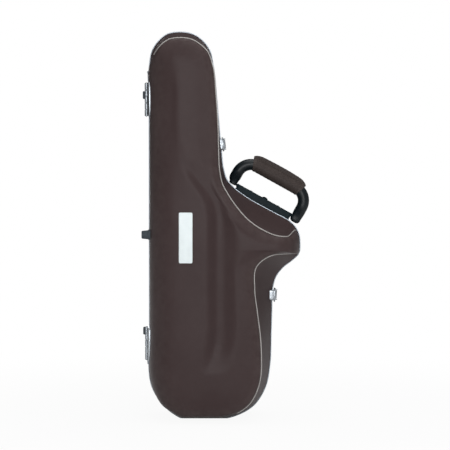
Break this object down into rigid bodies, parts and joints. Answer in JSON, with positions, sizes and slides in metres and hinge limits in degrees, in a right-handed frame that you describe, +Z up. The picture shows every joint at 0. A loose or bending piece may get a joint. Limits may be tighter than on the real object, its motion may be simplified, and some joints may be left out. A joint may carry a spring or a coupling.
{
  "type": "alto saxophone case",
  "caption": "Shaped hard case for a curved horn: two hinged padded shells with draw latches, folding handle, strap rings and feet.",
  "frame": {"origin": "centre of the overall box at the floor, the case standing on its bow end as in the picture", "axes": "+Z up along the case towards its neck end, +X from the hinged spine towards the bell, +Y from the lid towards the base, so the lid's face looks along -Y"},
  "size_m": [0.2876, 0.1746, 0.6647],
  "materials": {
    "leather": "fine-grained dark brown-black leather cover",
    "plush": "short dark plush over foam",
    "piping": "pale matt piping",
    "aluminium": "satin extrusion",
    "steel": "plated, softly worn",
    "rubber": "matt black",
    "handle": "black plastic over a steel core",
    "wrap": "stitched dark leather",
    "plate": "bare white enamel"
  },
  "bodies": {
    "base": {"base_liner": "plush", "base_piping_lower": "piping", "base_piping_upper": "piping", "base_rim": "aluminium", "base_shell": "leather", "bow_block": "plush", "handle_mount": "handle", "handle_mount_screw_far": "steel", "handle_mount_screw_near": "steel", "lower_hinge_base_leaf": "steel", "lower_hinge_base_rivet_high": "steel", "lower_hinge_base_rivet_low": "steel", "lower_hinge_pin": "steel", "lower_latch_pin": "steel", "lower_latch_plate": "steel", "lower_ring_saddle": "steel", "neck_block": "plush", "rim_seal": "rubber", "spine_foot_lower": "rubber", "spine_foot_upper": "rubber", "upper_hinge_base_leaf": "steel", "upper_hinge_base_rivet_high": "steel", "upper_hinge_base_rivet_low": "steel", "upper_hinge_pin": "steel", "upper_latch_pin": "steel", "upper_latch_plate": "steel", "upper_ring_saddle": "steel"},
    "lid": {"lid_liner": "plush", "lid_piping_lower": "piping", "lid_piping_upper": "piping", "lid_rim": "aluminium", "lid_shell": "leather", "lower_hinge_lid_leaf": "steel", "lower_hinge_lid_rivet_high": "steel", "lower_hinge_lid_rivet_low": "steel", "lower_latch_catch": "steel", "name_plate": "plate", "spine_foot_middle": "rubber", "upper_hinge_lid_leaf": "steel", "upper_hinge_lid_rivet_high": "steel", "upper_hinge_lid_rivet_low": "steel", "upper_latch_catch": "steel"},
    "handle": {"handle_loop": "handle", "handle_wrap": "wrap"},
    "upper_lever": {"upper_latch_lever": "steel"},
    "upper_bail": {"upper_latch_bail": "steel"},
    "lower_lever": {"lower_latch_lever": "steel"},
    "lower_bail": {"lower_latch_bail": "steel"},
    "upper_ring": {"upper_d_ring": "steel"},
    "lower_ring": {"lower_d_ring": "steel"}
  },
  "joints": [
    {"name": "lid_hinge", "type": "hinge", "parent": "base", "child": "lid", "pos_m": [-0.13656, 0.00527, 0.5483], "axis": [0, 0, -1], "range_deg": [0, 105]},
    {"name": "handle_swing", "type": "hinge", "parent": "base", "child": "handle", "pos_m": [0.06594, 0.02727, 0.37522], "axis": [0.8737, 0, -0.4864], "range_deg": [-60, 60]},
    {"name": "upper_lever_pivot", "type": "hinge", "parent": "base", "child": "upper_lever", "pos_m": [-0.0034, 0.01127, 0.47193], "axis": [0.0976, 0, -0.9952], "range_deg": [0, 105]},
    {"name": "upper_bail_pivot", "type": "hinge", "parent": "upper_lever", "child": "upper_bail", "pos_m": [-0.005, 0.01927, 0.47177], "axis": [0.0976, 0, -0.9952], "range_deg": [-132, 0]},
    {"name": "lower_lever_pivot", "type": "hinge", "parent": "base", "child": "lower_lever", "pos_m": [0.08536, 0.01127, 0.21325], "axis": [-0.0435, 0, -0.9991], "range_deg": [0, 105]},
    {"name": "lower_bail_pivot", "type": "hinge", "parent": "lower_lever", "child": "lower_bail", "pos_m": [0.08376, 0.01927, 0.21332], "axis": [-0.0435, 0, -0.9991], "range_deg": [-132, 0]},
    {"name": "upper_ring_swing", "type": "hinge", "parent": "base", "child": "upper_ring", "pos_m": [-0.13366, 0.03827, 0.596], "axis": [0, 1, 0], "range_deg": [0, 165]},
    {"name": "lower_ring_swing", "type": "hinge", "parent": "base", "child": "lower_ring", "pos_m": [-0.13521, 0.03827, 0.10671], "axis": [0, 1, 0], "range_deg": [0, 165]}
  ],
  "couplings": [
    {"joint": "upper_bail_pivot", "follows": "upper_lever_pivot", "ratio": -1.25},
    {"joint": "lower_bail_pivot", "follows": "lower_lever_pivot", "ratio": -1.25}
  ]
}
